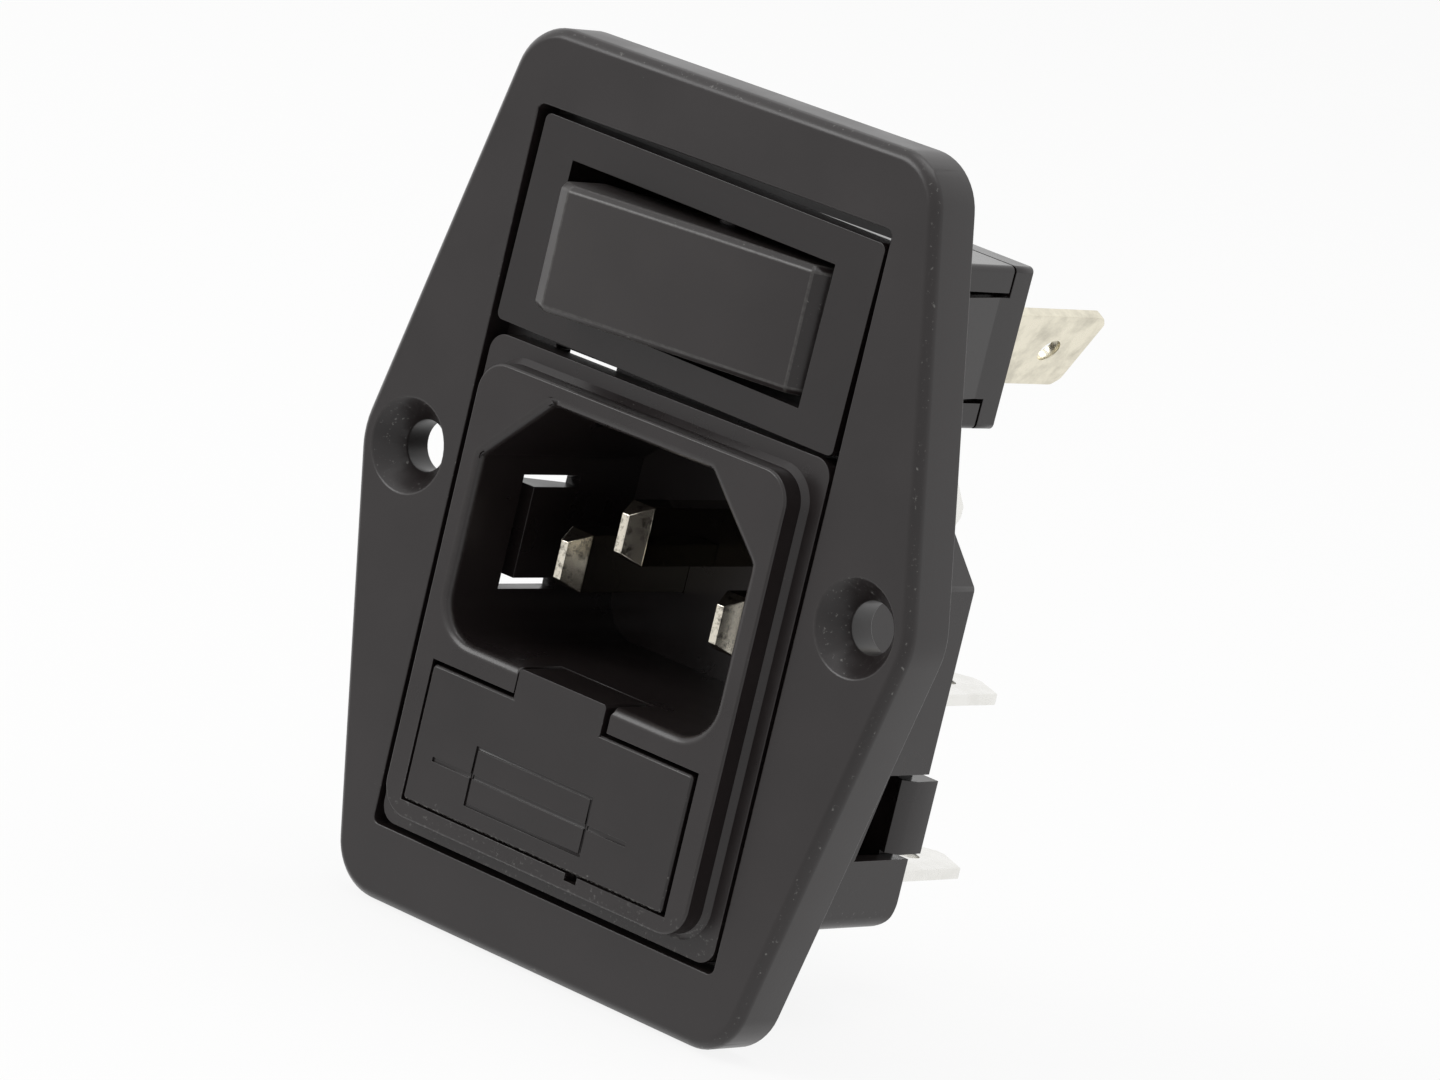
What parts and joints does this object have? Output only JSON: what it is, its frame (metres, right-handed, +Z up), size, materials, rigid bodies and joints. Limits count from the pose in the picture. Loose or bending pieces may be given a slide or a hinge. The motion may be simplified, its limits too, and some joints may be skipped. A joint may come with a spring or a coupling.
{
  "type": "panel power inlet with fuse drawer and rocker switch",
  "caption": "Hexagonal screw flange holding a recessed blade inlet with a pull-out fuse drawer, a rocker switch above it and flat wiring tabs behind.",
  "frame": {"origin": "midway between the two screw holes, on the flange's rear face, which meets the panel", "axes": "+X right as seen from the front, +Y into the panel, +Z up, with the switch above the inlet"},
  "size_m": [0.049, 0.0379, 0.06],
  "materials": {
    "flange_plastic": "fine spark-eroded texture, moulded",
    "inlet_plastic": "fine spark-eroded texture, moulded",
    "cover_plastic": "moulded",
    "drawer_plastic": "moulded",
    "switch_plastic": "moulded",
    "rocker_plastic": "satin, moulded",
    "plunger_plastic": "moulded",
    "pin_plate": "nickel plated over brass",
    "tab_plate": "tin plated over brass",
    "switch_tab_plate": "dull tin plated over brass",
    "lever_brass": "bare stamped brass",
    "contact_silver": "bare silver alloy",
    "spring_steel": "drawn wire",
    "fuse_glass": "clear drawn tube",
    "fuse_cap_nickel": "nickel plated, drawn",
    "fuse_wire_metal": "drawn wire"
  },
  "bodies": {
    "frame": {"flange_frame": "flange_plastic", "inlet_housing": "inlet_plastic", "inlet_rear_cover": "cover_plastic", "left_pin": "pin_plate", "right_pin": "pin_plate", "earth_pin": "pin_plate", "right_terminal": "tab_plate", "left_fuse_contact": "tab_plate", "right_fuse_contact": "tab_plate", "switch_housing": "switch_plastic", "switch_base": "cover_plastic", "fixed_contact": "contact_silver", "common_terminal": "switch_tab_plate", "contact_terminal": "switch_tab_plate"},
    "rocker": {"rocker": "rocker_plastic", "plunger_spring": "spring_steel"},
    "plunger": {"plunger": "plunger_plastic"},
    "lever": {"contact_lever": "lever_brass", "moving_contact": "contact_silver"},
    "drawer": {"fuse_drawer": "drawer_plastic", "fuse_tube": "fuse_glass", "fuse_end_caps": "fuse_cap_nickel", "fuse_wire": "fuse_wire_metal"}
  },
  "joints": [
    {"name": "rocker_tilt", "type": "hinge", "parent": "frame", "child": "rocker", "pos_m": [0, -0.00079, 0.0168], "axis": [0, 0, -1], "range_deg": [0, 20.8]},
    {"name": "lever_rock", "type": "hinge", "parent": "frame", "child": "lever", "pos_m": [0, 0.006, 0.01705], "axis": [0.0192, 0, 0.9998], "range_deg": [0, 12]},
    {"name": "plunger_slide", "type": "slide", "parent": "rocker", "child": "plunger", "axis": [0.1805, -0.9836, 0], "range_m": [0, 0.0008], "stiffness_N_per_m": 150, "springref_m": -0.002, "deforming": ["plunger_spring"]},
    {"name": "drawer_slide", "type": "slide", "parent": "frame", "child": "drawer", "axis": [0, -1, 0], "range_m": [0, 0.016]}
  ],
  "couplings": [
    {"joint": "lever_rock", "follows": "rocker_tilt", "ratio": 0.57692}
  ]
}
